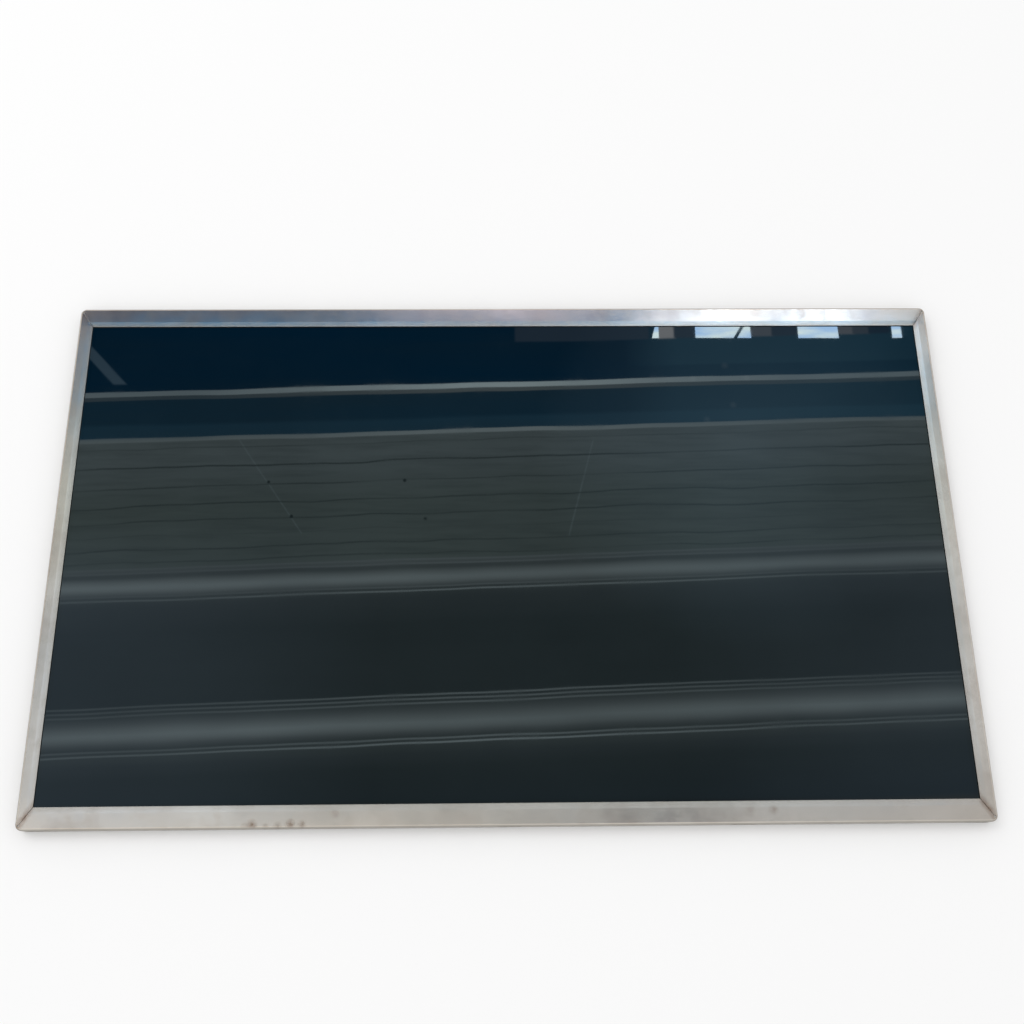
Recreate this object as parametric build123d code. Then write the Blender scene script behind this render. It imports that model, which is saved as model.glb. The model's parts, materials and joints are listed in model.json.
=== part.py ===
from build123d import *

import os

# A 14.0 inch laptop screen panel of the side-screw kind, lying on its back with the screen up.
# A steel bezel is clipped over a moulded frame. The frame holds the liquid crystal cell, the film
# stack and the light guide, and the drive board lies on the back along the bottom edge.
# Millimetres. +X runs along the width, +Y to the top edge of the picture, +Z out of the screen.
# The origin is on the resting plane, under the middle of the outline.

# Picture and opening
active_width = 309.4
active_height = 173.95
active_margin_x = 1.85
active_margin_y = 1.475

# Bezel
bezel_sheet = 0.25
fold_radius = 0.75
corner_radius = 2.2
skirt_gap = 0.3
crease_width = 2.0
crease_drop = 0.05
seam_gap = 0.16
seam_stop = 1.95
seam_relief = 0.6

# Thicknesses, from the resting plane up to the bezel
rear_clearance = 0.05
socket_height = 0.85
board_thickness = 0.5
bracket_sheet = 0.2
backing_thickness = 0.15
guide_thickness = 0.7
lower_diffuser_thickness = 0.12
prism_thickness = 0.14
upper_diffuser_thickness = 0.1
film_gap = 0.05
ledge_thickness = 0.4
tape_thickness = 0.1
glass_thickness = 0.5
polarizer_thickness = 0.2
lip_gap = 0.2

# Cell, films and light guide
glass_under_lip = 1.6
bond_ledge = 3.2
polarizer_inset = 0.5
rear_polarizer_inset = 0.4
ledge_inset = 0.5
guide_overlap = 0.9
film_inset = 0.1
reflector_corner = 0.8
ear_length = 7.0
ear_reach = 0.9
film_ear_y = 45.0
guide_ear_y = 4.0
reflector_bond = 1.2

# Moulded frame
frame_clearance = 0.2
frame_top_gap = 0.15
glass_clearance = 0.4
guide_clearance = 0.3
reflector_clearance = 0.15
ear_clearance = 0.2
side_wall = 1.0
bottom_wall = 1.6
cell_wall = 0.8
top_rim = 5.2
pocket_width = 2.4
pocket_length = 23.0
pocket_depth = 1.2
pocket_web = 6.0

# Snaps between the bezel and the frame
hook_length = 7.0
hook_height = 1.0
hook_reach = 0.32
hook_level = 1.9
hook_corner_gap = 8.0
window_clearance = 0.3
top_hook_count = 5

# Side rails, tapped for the screws of the lid's brackets
rail_sheet = 1.6
rail_clearance = 0.1
rail_seat = 0.5
rail_top_gap = 0.2
rail_end_gap = 13.5
rail_corner = 0.6
tap_radius = 0.8
screw_window = 3.0
screw_y_inner = 25.0
screw_end_gap = 10.05
screw_right_shift = 1.5

# Light bar
led_count = 40
led_length = 3.0
led_height = 0.6
led_depth = 1.0
led_lens_length = 2.3
led_lens_height = 0.36
led_lens_depth = 0.15
led_gap = 0.1
strip_under_guide = 1.5
strip_behind_leds = 1.5
strip_to_reflector = 0.2
strip_to_bracket = 1.1
bracket_wall_gap = 0.1
bracket_margin = 3.0
bracket_end_gap = 1.2
tail_width = 9.0
tail_bend = 0.35
tail_slack = 0.35
tail_notch_clearance = 1.0

# Drive board
board_end_gap = 10.6
board_depth = 9.6
board_deep_depth = 16.0
board_deep_margin = 8.0
board_corner = 1.5
board_wall_gap = 0.3

# Driver films
driver_film_count = 4
driver_film_width = 36.0
driver_film_thickness = 0.1
driver_film_bend = 0.5
driver_film_to_filter = 0.4
driver_film_to_bezel = 0.5
driver_film_overlap = 2.0
driver_slot_clearance = 1.0
driver_wall_clearance = 0.1
driver_chip_length = 24.0
driver_chip_height = 1.2
driver_chip_depth = 0.35
driver_chip_gap = 0.2

# Signal socket
contact_count = 40
contact_pitch = 0.5
contact_width = 0.2
contact_sheet = 0.1
contact_foot = 0.9
contact_clearance = 0.05
contact_setback = 0.4
socket_end_wall = 1.9
socket_depth = 3.6
socket_slot_height = 0.42
socket_slot_depth = 2.0
socket_back_notch = 0.5
socket_shell_sheet = 0.1
socket_edge_gap = 0.3
socket_end_gap = 20.0

# Chips, coils and small parts on the board
chip_height = 0.7
chip_chamfer = 0.1
chip_gap = 8.0
chip_edge_gap = 2.4
controller_size = 9.0
power_chip_size = 5.0
light_chip_size = 4.0
memory_length = 4.9
memory_width = 3.9
lead_reach = 0.7
lead_pitch = 0.8
lead_width = 0.35
lead_sheet = 0.2
coil_size = 4.6
coil_height = 0.8
coil_corner = 0.8
coil_foot_width = 1.2
coil_foot_height = 0.3
coil_gap = 3.0
tail_socket_length = 11.0
tail_socket_depth = 3.4
tail_socket_height = 0.8
tail_latch_depth = 1.1
tail_latch_height = 0.28
tail_mouth_clearance = 0.05
capacitor_length = 1.6
capacitor_width = 0.8
capacitor_height = 0.75
capacitors_per_film = 8
supply_capacitors = 4
resistor_length = 1.0
resistor_width = 0.5
resistor_height = 0.35
resistors_per_row = 8
small_part_gap = 1.6

# Heights worked up the stack
z_board_face = rear_clearance + socket_height
z_board_back = z_board_face + board_thickness
z_bracket_top = z_board_back + bracket_sheet
z_guide_bottom = z_bracket_top + backing_thickness
z_guide_top = z_guide_bottom + guide_thickness
z_lower_prism = z_guide_top + lower_diffuser_thickness
z_upper_prism = z_lower_prism + prism_thickness
z_upper_diffuser = z_upper_prism + prism_thickness
z_films_top = z_upper_diffuser + upper_diffuser_thickness
z_ledge_bottom = z_films_top + film_gap
z_ledge_top = z_ledge_bottom + ledge_thickness
z_cell_bottom = z_ledge_top + tape_thickness
z_bond = z_cell_bottom + glass_thickness
z_filter_top = z_bond + glass_thickness
z_polarizer_top = z_filter_top + polarizer_thickness
z_lip_under = z_polarizer_top + lip_gap + crease_drop
panel_depth = z_lip_under + bezel_sheet
z_frame_top = z_lip_under - frame_top_gap

# The flat inside the bezel's fold, which touches the fold's inner arc at its middle
fold_bevel = (2 - 2**0.5) * (fold_radius - bezel_sheet)

# Lip widths worked outwards from the opening, piece by piece
guide_out = guide_overlap - ledge_inset
cavity_out = guide_out + guide_clearance
recess_out = cavity_out + reflector_bond + reflector_clearance
cell_out = glass_under_lip + glass_clearance
core_out = max(cell_out, recess_out) + side_wall
bezel_out = frame_clearance + bezel_sheet
lip_side = core_out + rail_clearance + rail_sheet + bezel_out
lip_top = recess_out + top_rim + bezel_out
strip_out = guide_out + led_gap + led_depth + strip_behind_leds
wall_in_out = strip_out + strip_to_bracket + bracket_sheet + bracket_wall_gap
wall_out_out = max(wall_in_out + bottom_wall, cell_out + bond_ledge + cell_wall)
film_run_out = wall_out_out + driver_chip_gap + driver_chip_depth
lip_bottom = film_run_out + driver_film_thickness + driver_film_to_bezel + bezel_sheet

# Outlines: half widths in x, and low and high edges in y
panel_width = active_width + 2 * (active_margin_x + lip_side)
panel_height = active_height + 2 * active_margin_y + lip_top + lip_bottom
half_width = panel_width / 2
half_height = panel_height / 2
opening_x = half_width - lip_side
opening_low = lip_bottom - half_height
opening_high = half_height - lip_top
ledge_x = opening_x - ledge_inset
ledge_low = opening_low + ledge_inset
ledge_high = opening_high - ledge_inset
glass_x = opening_x + glass_under_lip
glass_low = opening_low - glass_under_lip
glass_high = opening_high + glass_under_lip
bond_low = glass_low - bond_ledge
guide_x = opening_x + guide_out
guide_low = opening_low - guide_out
guide_high = opening_high + guide_out
cavity_x = opening_x + cavity_out
cavity_high = opening_high + cavity_out
recess_x = opening_x + recess_out
recess_high = opening_high + recess_out
frame_x = half_width - bezel_out
frame_y = half_height - bezel_out
wall_in_y = opening_low - wall_in_out
wall_out_y = opening_low - wall_out_out
film_run_y = opening_low - film_run_out

# Light bar and rails
led_high = guide_low - led_gap
led_low = led_high - led_depth
strip_high = guide_low + strip_under_guide
strip_low = opening_low - strip_out
bracket_low = wall_in_y + bracket_wall_gap
rail_in_x = frame_x - rail_sheet
rail_half = frame_y - rail_end_gap
rail_bottom = rail_seat + rail_clearance
rail_top = z_frame_top - rail_top_gap
screw_z = (rail_bottom + rail_top) / 2
screw_y_outer = rail_half - screw_end_gap

# Snaps
hook_z = z_frame_top - hook_level
side_hook_y = frame_y - hook_corner_gap
top_hook_span = 2 * (frame_x - hook_corner_gap - hook_length)

# Drive board, filled from its right end to the left
driver_pitch = active_width / driver_film_count
driver_places = [(i - (driver_film_count - 1) / 2) * driver_pitch for i in range(driver_film_count)]
board_low = wall_in_y + board_wall_gap
board_x = recess_x - board_end_gap
board_high = board_low + board_depth
board_deep_high = board_low + board_deep_depth
socket_length = (contact_count - 1) * contact_pitch + 2 * socket_end_wall
socket_x = board_x - socket_end_gap - socket_length / 2
socket_high = board_deep_high - socket_edge_gap
power_chip_x = socket_x - (socket_length + power_chip_size) / 2 - chip_gap
power_coil_x = power_chip_x - (power_chip_size + coil_size) / 2 - coil_gap
controller_x = power_coil_x - (coil_size + controller_size) / 2 - chip_gap
memory_x = controller_x - (controller_size + memory_length) / 2 - chip_gap
board_deep_x = memory_x - memory_length / 2 - board_deep_margin
chip_y = board_deep_high - chip_edge_gap - controller_size / 2
narrow_y = (board_low + driver_film_overlap + board_high) / 2
tail_x = driver_places[0] + driver_pitch / 2
light_chip_x = tail_x - (tail_socket_length + light_chip_size) / 2 - chip_gap
light_coil_x = light_chip_x - (light_chip_size + coil_size) / 2 - coil_gap
tail_socket_low = narrow_y - tail_socket_depth / 2
tail_socket_high = narrow_y + tail_socket_depth / 2
through = 2 * panel_depth


def span(x_low, x_high, y_low, y_high):
    """A rectangle between two corners, on the ground plane."""
    return Pos((x_low + x_high) / 2, (y_low + y_high) / 2) * Rectangle(x_high - x_low, y_high - y_low)


def rise(sketch, z_low, z_high):
    """A flat outline drawn up from one height to another."""
    return Pos(0, 0, z_low) * extrude(sketch, z_high - z_low)


def block(x_low, x_high, y_low, y_high, z_low, z_high):
    """A straight-sided block between two corners."""
    return rise(span(x_low, x_high, y_low, y_high), z_low, z_high)


def frame_section(profile, x_low, x_high):
    """A closed (y, z) profile drawn along X."""
    face = make_face(Plane.YZ * Polyline(*profile, close=True))
    return Pos(x_low, 0, 0) * extrude(face, x_high - x_low, dir=(1, 0, 0))


def ribbon(points, bend, thickness, width, middle_x):
    """A bent strip: a centre line of (y, z) points with round bends, given a thickness and a width."""
    path = Plane.YZ * FilletPolyline(*points, radius=bend)
    start = Plane(path @ 0, x_dir=(1, 0, 0), z_dir=path % 0)
    return Pos(middle_x, 0, 0) * sweep(start * Rectangle(width, thickness), path)


def opening_taper(grow_low, z_low, grow_high, z_high):
    """A four-sided taper round the bezel's opening, grown by a margin at each end."""
    ends = []
    for grow, z in ((grow_low, z_low), (grow_high, z_high)):
        outline = span(-opening_x - grow, opening_x + grow, opening_low - grow, opening_high + grow)
        ends.append(Pos(0, 0, z) * outline)
    return loft(ends, ruled=True)


def joined(first, others):
    """Several overlapping shapes as one solid."""
    return first.fuse(*others)


def group(shapes):
    """Separate solids that share one node."""
    return Compound(children=[solid for shape in shapes for solid in shape.solids()])


def spread(count, pitch, middle=0.0):
    """Evenly pitched places about a middle."""
    return [middle + (i - (count - 1) / 2) * pitch for i in range(count)]


def hook_places():
    """Each snap's place on the frame's outer face, with its local +Y pointing outwards."""
    top = spread(top_hook_count, top_hook_span / (top_hook_count - 1))
    bottom = spread(driver_film_count + 1, driver_pitch)
    places = [Pos(x, frame_y, hook_z) for x in top]
    places += [Pos(x, -frame_y, hook_z) * Rot(0, 0, 180) for x in bottom]
    for y in (-side_hook_y, side_hook_y):
        places += [Pos(frame_x, y, hook_z) * Rot(0, 0, -90), Pos(-frame_x, y, hook_z) * Rot(0, 0, 90)]
    return places


def screw_places(side):
    """Screw axes on the left (-1) or right (+1) edge, with local +Z pointing outwards."""
    shift = screw_right_shift if side > 0 else 0
    places = (-screw_y_outer, -screw_y_inner, screw_y_inner, screw_y_outer)
    return [Pos(0, y + shift, screw_z) * Rot(0, 90 * side, 0) for y in places]


def seam_cutter(side, corner_y):
    """The open mitre seam of one corner: a thin slit from the opening to a small square relief."""
    edge_y = opening_high if corner_y > 0 else opening_low
    start = Vector(side * opening_x, edge_y)
    corner = Vector(side * half_width, corner_y)
    toward = (corner - start).normalized()
    end = corner - toward * seam_stop
    length = (end - start).length + seam_gap
    slit = Pos(-length / 2, 0) * Rectangle(length, seam_gap)
    line = Plane(origin=end, x_dir=toward, z_dir=(0, 0, 1))
    outline = line * (slit + Rectangle(seam_relief, seam_relief))
    return rise(outline, z_lip_under - crease_drop - bezel_sheet, through)


def tray(inset, z_low, z_high):
    """A slab inset from the bezel's outside, with round upright corners."""
    outline = RectangleRounded(panel_width - 2 * inset, panel_height - 2 * inset, corner_radius - inset)
    return rise(outline, z_low, z_high)


def front_bezel():
    """Folded steel bezel: side walls, a lip that dips to the glass, mitre seams, snap and screw windows."""
    outside = tray(0, skirt_gap, panel_depth)
    outside = fillet(outside.faces().sort_by(Axis.Z)[-1].edges(), fold_radius)
    hollow = tray(bezel_sheet, 0, z_lip_under)
    hollow = chamfer(hollow.faces().sort_by(Axis.Z)[-1].edges(), fold_bevel)
    dip_under = opening_taper(0, z_lip_under - crease_drop, crease_width, z_lip_under)
    dip_over = opening_taper(0, panel_depth - crease_drop, crease_width, panel_depth)
    opening = block(-opening_x, opening_x, opening_low, opening_high, 0, through)
    bezel = outside - hollow + dip_under - dip_over - opening
    seams = [seam_cutter(side, y) for side in (-1, 1) for y in (-half_height, half_height)]
    snap_window = Box(
        hook_length + 2 * window_clearance,
        2 * bezel_out + hook_reach,
        hook_height + 2 * window_clearance,
    )
    windows = [place * snap_window for place in hook_places()]
    screw_hole = Pos(0, 0, half_width) * Box(screw_window, screw_window, 4 * bezel_sheet)
    windows += [place * screw_hole for side in (-1, 1) for place in screw_places(side)]
    return bezel.cut(*seams, *windows)


def front_polarizer():
    """Glossy polarizing film on the front of the cell."""
    x, y_low, y_high = glass_x - polarizer_inset, glass_low + polarizer_inset, glass_high - polarizer_inset
    return block(-x, x, y_low, y_high, z_filter_top, z_polarizer_top)


def colour_filter_glass():
    """Front glass of the cell."""
    return block(-glass_x, glass_x, glass_low, glass_high, z_bond, z_filter_top)


def transistor_array_glass():
    """Rear glass of the cell, longer at the bottom where the driver films are bonded."""
    return block(-glass_x, glass_x, bond_low, glass_high, z_cell_bottom, z_bond)


def rear_polarizer():
    """Polarizing film on the back of the cell, inside the frame's ledge."""
    x = ledge_x - rear_polarizer_inset
    y_low, y_high = ledge_low + rear_polarizer_inset, ledge_high - rear_polarizer_inset
    return block(-x, x, y_low, y_high, z_cell_bottom - polarizer_thickness, z_cell_bottom)


def cell_rim_tape():
    """Black adhesive frame that holds the cell on the ledge."""
    outline = span(-glass_x, glass_x, bond_low, glass_high) - span(-ledge_x, ledge_x, ledge_low, ledge_high)
    return rise(outline, z_ledge_top, z_cell_bottom)


def ear_outlines(middle_y, grow=0.0):
    """A pair of locating ears on the light guide's left and right edges, grown for the pockets."""
    half = ear_length / 2 + grow
    x_out = guide_x + ear_reach + grow
    ears = [span(guide_x - ear_reach, x_out, middle_y - half, middle_y + half)]
    return ears + [mirror(ears[0], Plane.YZ)]


def optical_film(z_low, thickness):
    """One film of the stack, with two locating ears on each side."""
    x, y_low, y_high = guide_x - film_inset, guide_low + film_inset, guide_high - film_inset
    outline = span(-x, x, y_low, y_high)
    for y in (-film_ear_y, film_ear_y):
        outline += ear_outlines(y)
    return rise(outline, z_low, z_low + thickness)


def light_guide_plate():
    """Clear plate lit from its bottom edge, with a locating ear on each side."""
    outline = span(-guide_x, guide_x, guide_low, guide_high) + ear_outlines(guide_ear_y)
    return rise(outline, z_guide_bottom, z_guide_top)


def reflector_sheet():
    """White sheet bonded to the back of the frame, from the light bar up to the top rim."""
    x, y_high = recess_x - reflector_clearance, recess_high - reflector_clearance
    outline = span(-x, x, strip_high + strip_to_reflector, y_high)
    return rise(fillet(outline.vertices(), reflector_corner), z_bracket_top, z_guide_bottom)


def hook():
    """A snap with a ramp above and a flat catch below, standing on a face whose outside is local +Y."""
    low, high = -hook_height / 2, hook_height / 2
    profile = ((-hook_reach, low), (hook_reach, low), (0, high), (-hook_reach, high))
    return frame_section(profile, -hook_length / 2, hook_length / 2)


def driver_slots():
    """Room for the driver films outside, over and under the frame's bottom wall."""
    half = driver_film_width / 2 + driver_slot_clearance
    over, under = z_bond - driver_wall_clearance, z_board_face + driver_wall_clearance
    profile = (
        (-half_height, -through),
        (wall_in_y, -through),
        (wall_in_y, under),
        (wall_out_y, under),
        (wall_out_y, over),
        (wall_in_y, over),
        (wall_in_y, through),
        (-half_height, through),
    )
    return [frame_section(profile, x - half, x + half) for x in driver_places]


def rail_slots():
    """Slots in the frame's two sides for the rails, open to the outside and to the front."""
    half = rail_half + rail_clearance
    slot = block(opening_x + core_out, half_width, -half, half, rail_seat, through)
    return [slot, mirror(slot, Plane.YZ)]


def rim_pockets():
    """Blind pockets that lighten the frame's top rim, as many as fit."""
    pitch = pocket_length + pocket_web
    count = int((2 * frame_x - pocket_web) / pitch)
    middle_y = (recess_high + frame_y) / 2
    outline = Rectangle(pocket_length, pocket_width)
    return [rise(Pos(x, middle_y) * outline, -pocket_depth, pocket_depth) for x in spread(count, pitch)]


def moulded_frame():
    """White moulded frame that carries the cell, the films, the light guide, the rails and the bezel."""
    outline = RectangleRounded(2 * frame_x, 2 * frame_y, corner_radius - bezel_out)
    body = rise(outline, 0, z_frame_top)
    cell_x = glass_x + glass_clearance
    cell_low = bond_low - glass_clearance
    cell_high = glass_high + glass_clearance
    cell_pocket = block(-cell_x, cell_x, cell_low, cell_high, z_ledge_top, through)
    light_opening = block(-ledge_x, ledge_x, ledge_low, ledge_high, 0, through)
    cavity = block(-cavity_x, cavity_x, wall_in_y, cavity_high, 0, z_ledge_bottom)
    recess = block(-recess_x, recess_x, wall_in_y, recess_high, 0, z_guide_bottom)
    ear_pockets = []
    for y in (-film_ear_y, guide_ear_y, film_ear_y):
        ear_pockets += [rise(ear, 0, z_ledge_bottom) for ear in ear_outlines(y, ear_clearance)]
    cutters = [cell_pocket, light_opening, cavity, recess, *ear_pockets]
    cutters += driver_slots() + rim_pockets() + rail_slots()
    return joined(body.cut(*cutters), [place * hook() for place in hook_places()])


def side_rail(side):
    """Steel rail behind the bezel's side wall, tapped for the screws of the lid's bracket."""
    rail = block(rail_in_x, frame_x, -rail_half, rail_half, rail_bottom, rail_top)
    rail = fillet(rail.edges().filter_by(Axis.X), rail_corner)
    rail = rail if side > 0 else mirror(rail, Plane.YZ)
    tap = Pos(0, 0, frame_x) * Cylinder(tap_radius, 4 * rail_sheet)
    return rail.cut(*(place * tap for place in screw_places(side)))


def tail_notch(y_high):
    """Room in the bracket and the board for the light bar's tail."""
    half = tail_width / 2 + tail_notch_clearance
    return block(tail_x - half, tail_x + half, -half_height, y_high, 0, through)


def light_bar_bracket():
    """Aluminium angle behind the light bar, which spreads its heat and carries the board."""
    x = cavity_x - bracket_end_gap
    y_high = board_deep_high + bracket_margin
    profile = (
        (bracket_low, z_board_back),
        (y_high, z_board_back),
        (y_high, z_bracket_top),
        (bracket_low + bracket_sheet, z_bracket_top),
        (bracket_low + bracket_sheet, z_films_top),
        (bracket_low, z_films_top),
    )
    angle = frame_section(profile, -x, x)
    outer_bend = angle.edges().filter_by(Axis.X).group_by(Axis.Z)[0].sort_by(Axis.Y)[0]
    return fillet(outer_bend, bracket_sheet) - tail_notch(strip_low)


def light_bar_strip():
    """Flexible board under the diodes, with a tail bent round the drive board's edge to its socket."""
    half = active_width / 2
    strip = block(-half, half, strip_low, strip_high, z_bracket_top, z_guide_bottom)
    z_strip = (z_bracket_top + z_guide_bottom) / 2
    z_end = z_board_face - backing_thickness / 2
    y_bend = strip_low - tail_slack - backing_thickness / 2
    path = ((strip_low, z_strip), (y_bend, z_strip), (y_bend, z_end), (narrow_y, z_end))
    return strip + ribbon(path, tail_bend, backing_thickness, tail_width, tail_x)


def light_diodes():
    """Side-firing diodes along the light guide's bottom edge, each with a recessed lens."""
    half = led_length / 2
    body = block(-half, half, led_low, led_high, z_guide_bottom, z_guide_bottom + led_height)
    lens = Box(led_lens_length, 2 * led_lens_depth, led_lens_height)
    diode = body - Pos(0, led_high, z_guide_bottom + led_height / 2) * lens
    return group(Pos(x, 0, 0) * diode for x in spread(led_count, active_width / led_count))


def drive_board():
    """Circuit board on the back, deeper at the socket's end and notched for the light bar's tail."""
    outline = Polyline(
        (-board_x, board_low),
        (board_x, board_low),
        (board_x, board_deep_high),
        (board_deep_x, board_deep_high),
        (board_deep_x - board_deep_depth + board_depth, board_high),
        (-board_x, board_high),
        close=True,
    )
    sketch = fillet(make_face(outline).vertices(), board_corner)
    return rise(sketch, z_board_face, z_board_back) - tail_notch(strip_low + tail_slack)


def driver_films():
    """Flexible films from the array glass, over the frame's wall and round to the board."""
    half = driver_film_thickness / 2
    z_top, z_end, y_run = z_bond + half, z_board_face - half, film_run_y - half
    y_start, y_end = glass_low - driver_film_to_filter, board_low + driver_film_overlap
    path = ((y_start, z_top), (y_run, z_top), (y_run, z_end), (y_end, z_end))
    film = ribbon(path, driver_film_bend, driver_film_thickness, driver_film_width, 0)
    return group(Pos(x, 0, 0) * film for x in driver_places)


def driver_chips():
    """Slim driver chips on the inner face of the films, towards the frame's wall."""
    z_middle = (z_bond + z_board_face) / 2
    chip = Box(driver_chip_length, driver_chip_depth, driver_chip_height)
    return group(Pos(x, film_run_y + driver_chip_depth / 2, z_middle) * chip for x in driver_places)


def contact_z():
    """Height of the contacts' board side inside the socket's slot."""
    return z_board_face - socket_height / 2 + socket_slot_height / 2 - contact_clearance


def signal_socket_housing():
    """Plastic body of the signal socket: a slot for the plug, and a notch behind for the contacts."""
    half, row = socket_length / 2 - socket_shell_sheet, (contact_count + 1) * contact_pitch / 2
    y_low, z_low = socket_high - socket_depth, z_board_face - socket_height + socket_shell_sheet
    body = block(socket_x - half, socket_x + half, y_low, socket_high, z_low, z_board_face)
    slot_z = z_board_face - socket_height / 2
    slot = Pos(socket_x, socket_high, slot_z) * Box(2 * row, 2 * socket_slot_depth, socket_slot_height)
    left, right = socket_x - row, socket_x + row
    channel_z = contact_z() - contact_sheet - contact_clearance
    slot_end = socket_high - socket_slot_depth
    channel = block(left, right, y_low, slot_end, channel_z, contact_z() + contact_clearance)
    notch = block(left, right, y_low, y_low + socket_back_notch, channel_z, z_board_face)
    return body.cut(slot, channel, notch)


def signal_socket_shell():
    """Pressed steel cover of the signal socket, folded down over both ends."""
    half = socket_length / 2
    y_low, z_low = socket_high - socket_depth + contact_foot, z_board_face - socket_height
    cover = block(socket_x - half, socket_x + half, y_low, socket_high, z_low, z_board_face)
    outer_bends = cover.edges().filter_by(Axis.Y).group_by(Axis.Z)[0]
    cover = fillet(outer_bends, socket_shell_sheet)
    inner = half - socket_shell_sheet
    z_inner = z_low + socket_shell_sheet
    return cover - block(socket_x - inner, socket_x + inner, y_low, socket_high, z_inner, through)


def signal_socket_contacts():
    """Contact blades: a foot on the board, a step up behind the housing and a blade in the slot."""
    y_low = socket_high - socket_depth
    y_foot, y_tip = y_low - contact_foot, socket_high - contact_setback
    y_step = y_low + contact_clearance
    profile = (
        (y_foot, z_board_face),
        (y_foot, z_board_face - contact_sheet),
        (y_step, z_board_face - contact_sheet),
        (y_step, contact_z() - contact_sheet),
        (y_tip, contact_z() - contact_sheet),
        (y_tip, contact_z()),
        (y_step + contact_sheet, contact_z()),
        (y_step + contact_sheet, z_board_face),
    )
    blade = frame_section(profile, -contact_width / 2, contact_width / 2)
    return group(Pos(x, 0, 0) * blade for x in spread(contact_count, contact_pitch, socket_x))


def leaded_chip(length, width, x, y, on_all_sides):
    """A moulded chip, chamfered round its top, with rows of leads on two or on all four sides."""
    body = rise(Rectangle(length, width), -chip_height, 0)
    body = chamfer(body.faces().sort_by(Axis.Z)[0].edges(), chip_chamfer)
    leads = []
    for turn, row, across in ((0, length, width), (90, width, length))[: 1 + on_all_sides]:
        count = int(row / lead_pitch) - 1
        lead = rise(Rectangle(lead_width, across + 2 * lead_reach), -lead_sheet, 0)
        leads += [Rot(0, 0, turn) * Pos(place, 0, 0) * lead for place in spread(count, lead_pitch)]
    return Pos(x, y, z_board_face) * joined(body, leads)


def power_coil(x, y):
    """A shielded coil: a square ferrite with cut corners, standing on a foot at each end."""
    outline = chamfer(Rectangle(coil_size, coil_size).vertices(), coil_corner)
    gap = block(
        coil_foot_width - coil_size / 2,
        coil_size / 2 - coil_foot_width,
        -coil_size,
        coil_size,
        -coil_foot_height,
        0,
    )
    return Pos(x, y, z_board_face) * (rise(outline, -coil_height, 0) - gap)


def power_coils():
    """The coils of the panel's two supplies, each beside its chip."""
    return group([power_coil(power_coil_x, chip_y), power_coil(light_coil_x, narrow_y)])


def light_bar_socket_body():
    """Low socket that takes the light bar's tail, stepped at the back for its latch."""
    z_low = z_board_face - tail_socket_height
    z_latch = z_low + tail_latch_height
    z_mouth = z_board_face - backing_thickness - tail_mouth_clearance
    y_latch = tail_socket_high - tail_latch_depth
    profile = (
        (tail_socket_low, z_low),
        (y_latch, z_low),
        (y_latch, z_latch),
        (tail_socket_high, z_latch),
        (tail_socket_high, z_board_face),
        (tail_socket_low, z_board_face),
    )
    body = frame_section(profile, tail_x - tail_socket_length / 2, tail_x + tail_socket_length / 2)
    half = tail_width / 2 + tail_mouth_clearance
    mouth_end = narrow_y + tail_mouth_clearance
    return body - block(tail_x - half, tail_x + half, tail_socket_low, mouth_end, z_mouth, z_board_face)


def light_bar_socket_latch():
    """Flip latch along the back of the light bar's socket, with a rounded lifting edge."""
    z_low = z_board_face - tail_socket_height
    half = tail_socket_length / 2
    y_low, z_high = tail_socket_high - tail_latch_depth, z_low + tail_latch_height
    latch = block(tail_x - half, tail_x + half, y_low, tail_socket_high, z_low, z_high)
    lifting_edge = latch.edges().filter_by(Axis.X).group_by(Axis.Z)[0].sort_by(Axis.Y)[-1]
    return fillet(lifting_edge, tail_latch_height / 2)


def small_parts(length, width, height, places):
    """A group of small block parts standing on the board."""
    part = rise(Rectangle(width, length), -height, 0)
    return group(Pos(x, y, z_board_face) * part for x, y in places)


def ceramic_capacitors():
    """Ceramic capacitors in a row above each driver film and beside the two supplies."""
    pitch = capacitor_width + small_part_gap
    film_row = board_low + driver_film_overlap + capacitor_length
    places = [(x, film_row) for middle in driver_places for x in spread(capacitors_per_film, pitch, middle)]
    supply_row = board_deep_high - chip_edge_gap
    places += [(x, supply_row) for x in spread(supply_capacitors, pitch, power_coil_x)]
    places += [(light_coil_x - coil_size / 2 - coil_gap, narrow_y + capacitor_length)]
    return small_parts(capacitor_length, capacitor_width, capacitor_height, places)


def chip_resistors():
    """Chip resistors beside the memory chip, the signal socket and the light bar's socket."""
    pitch = resistor_width + small_part_gap
    rows = (
        (memory_x, board_deep_high - chip_edge_gap),
        (socket_x, socket_high - socket_depth - contact_foot - small_part_gap),
        (tail_x + tail_socket_length / 2 + chip_gap + resistors_per_row * pitch / 2, narrow_y),
    )
    places = [(x, y) for middle, y in rows for x in spread(resistors_per_row, pitch, middle)]
    return small_parts(resistor_length, resistor_width, resistor_height, places)


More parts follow.
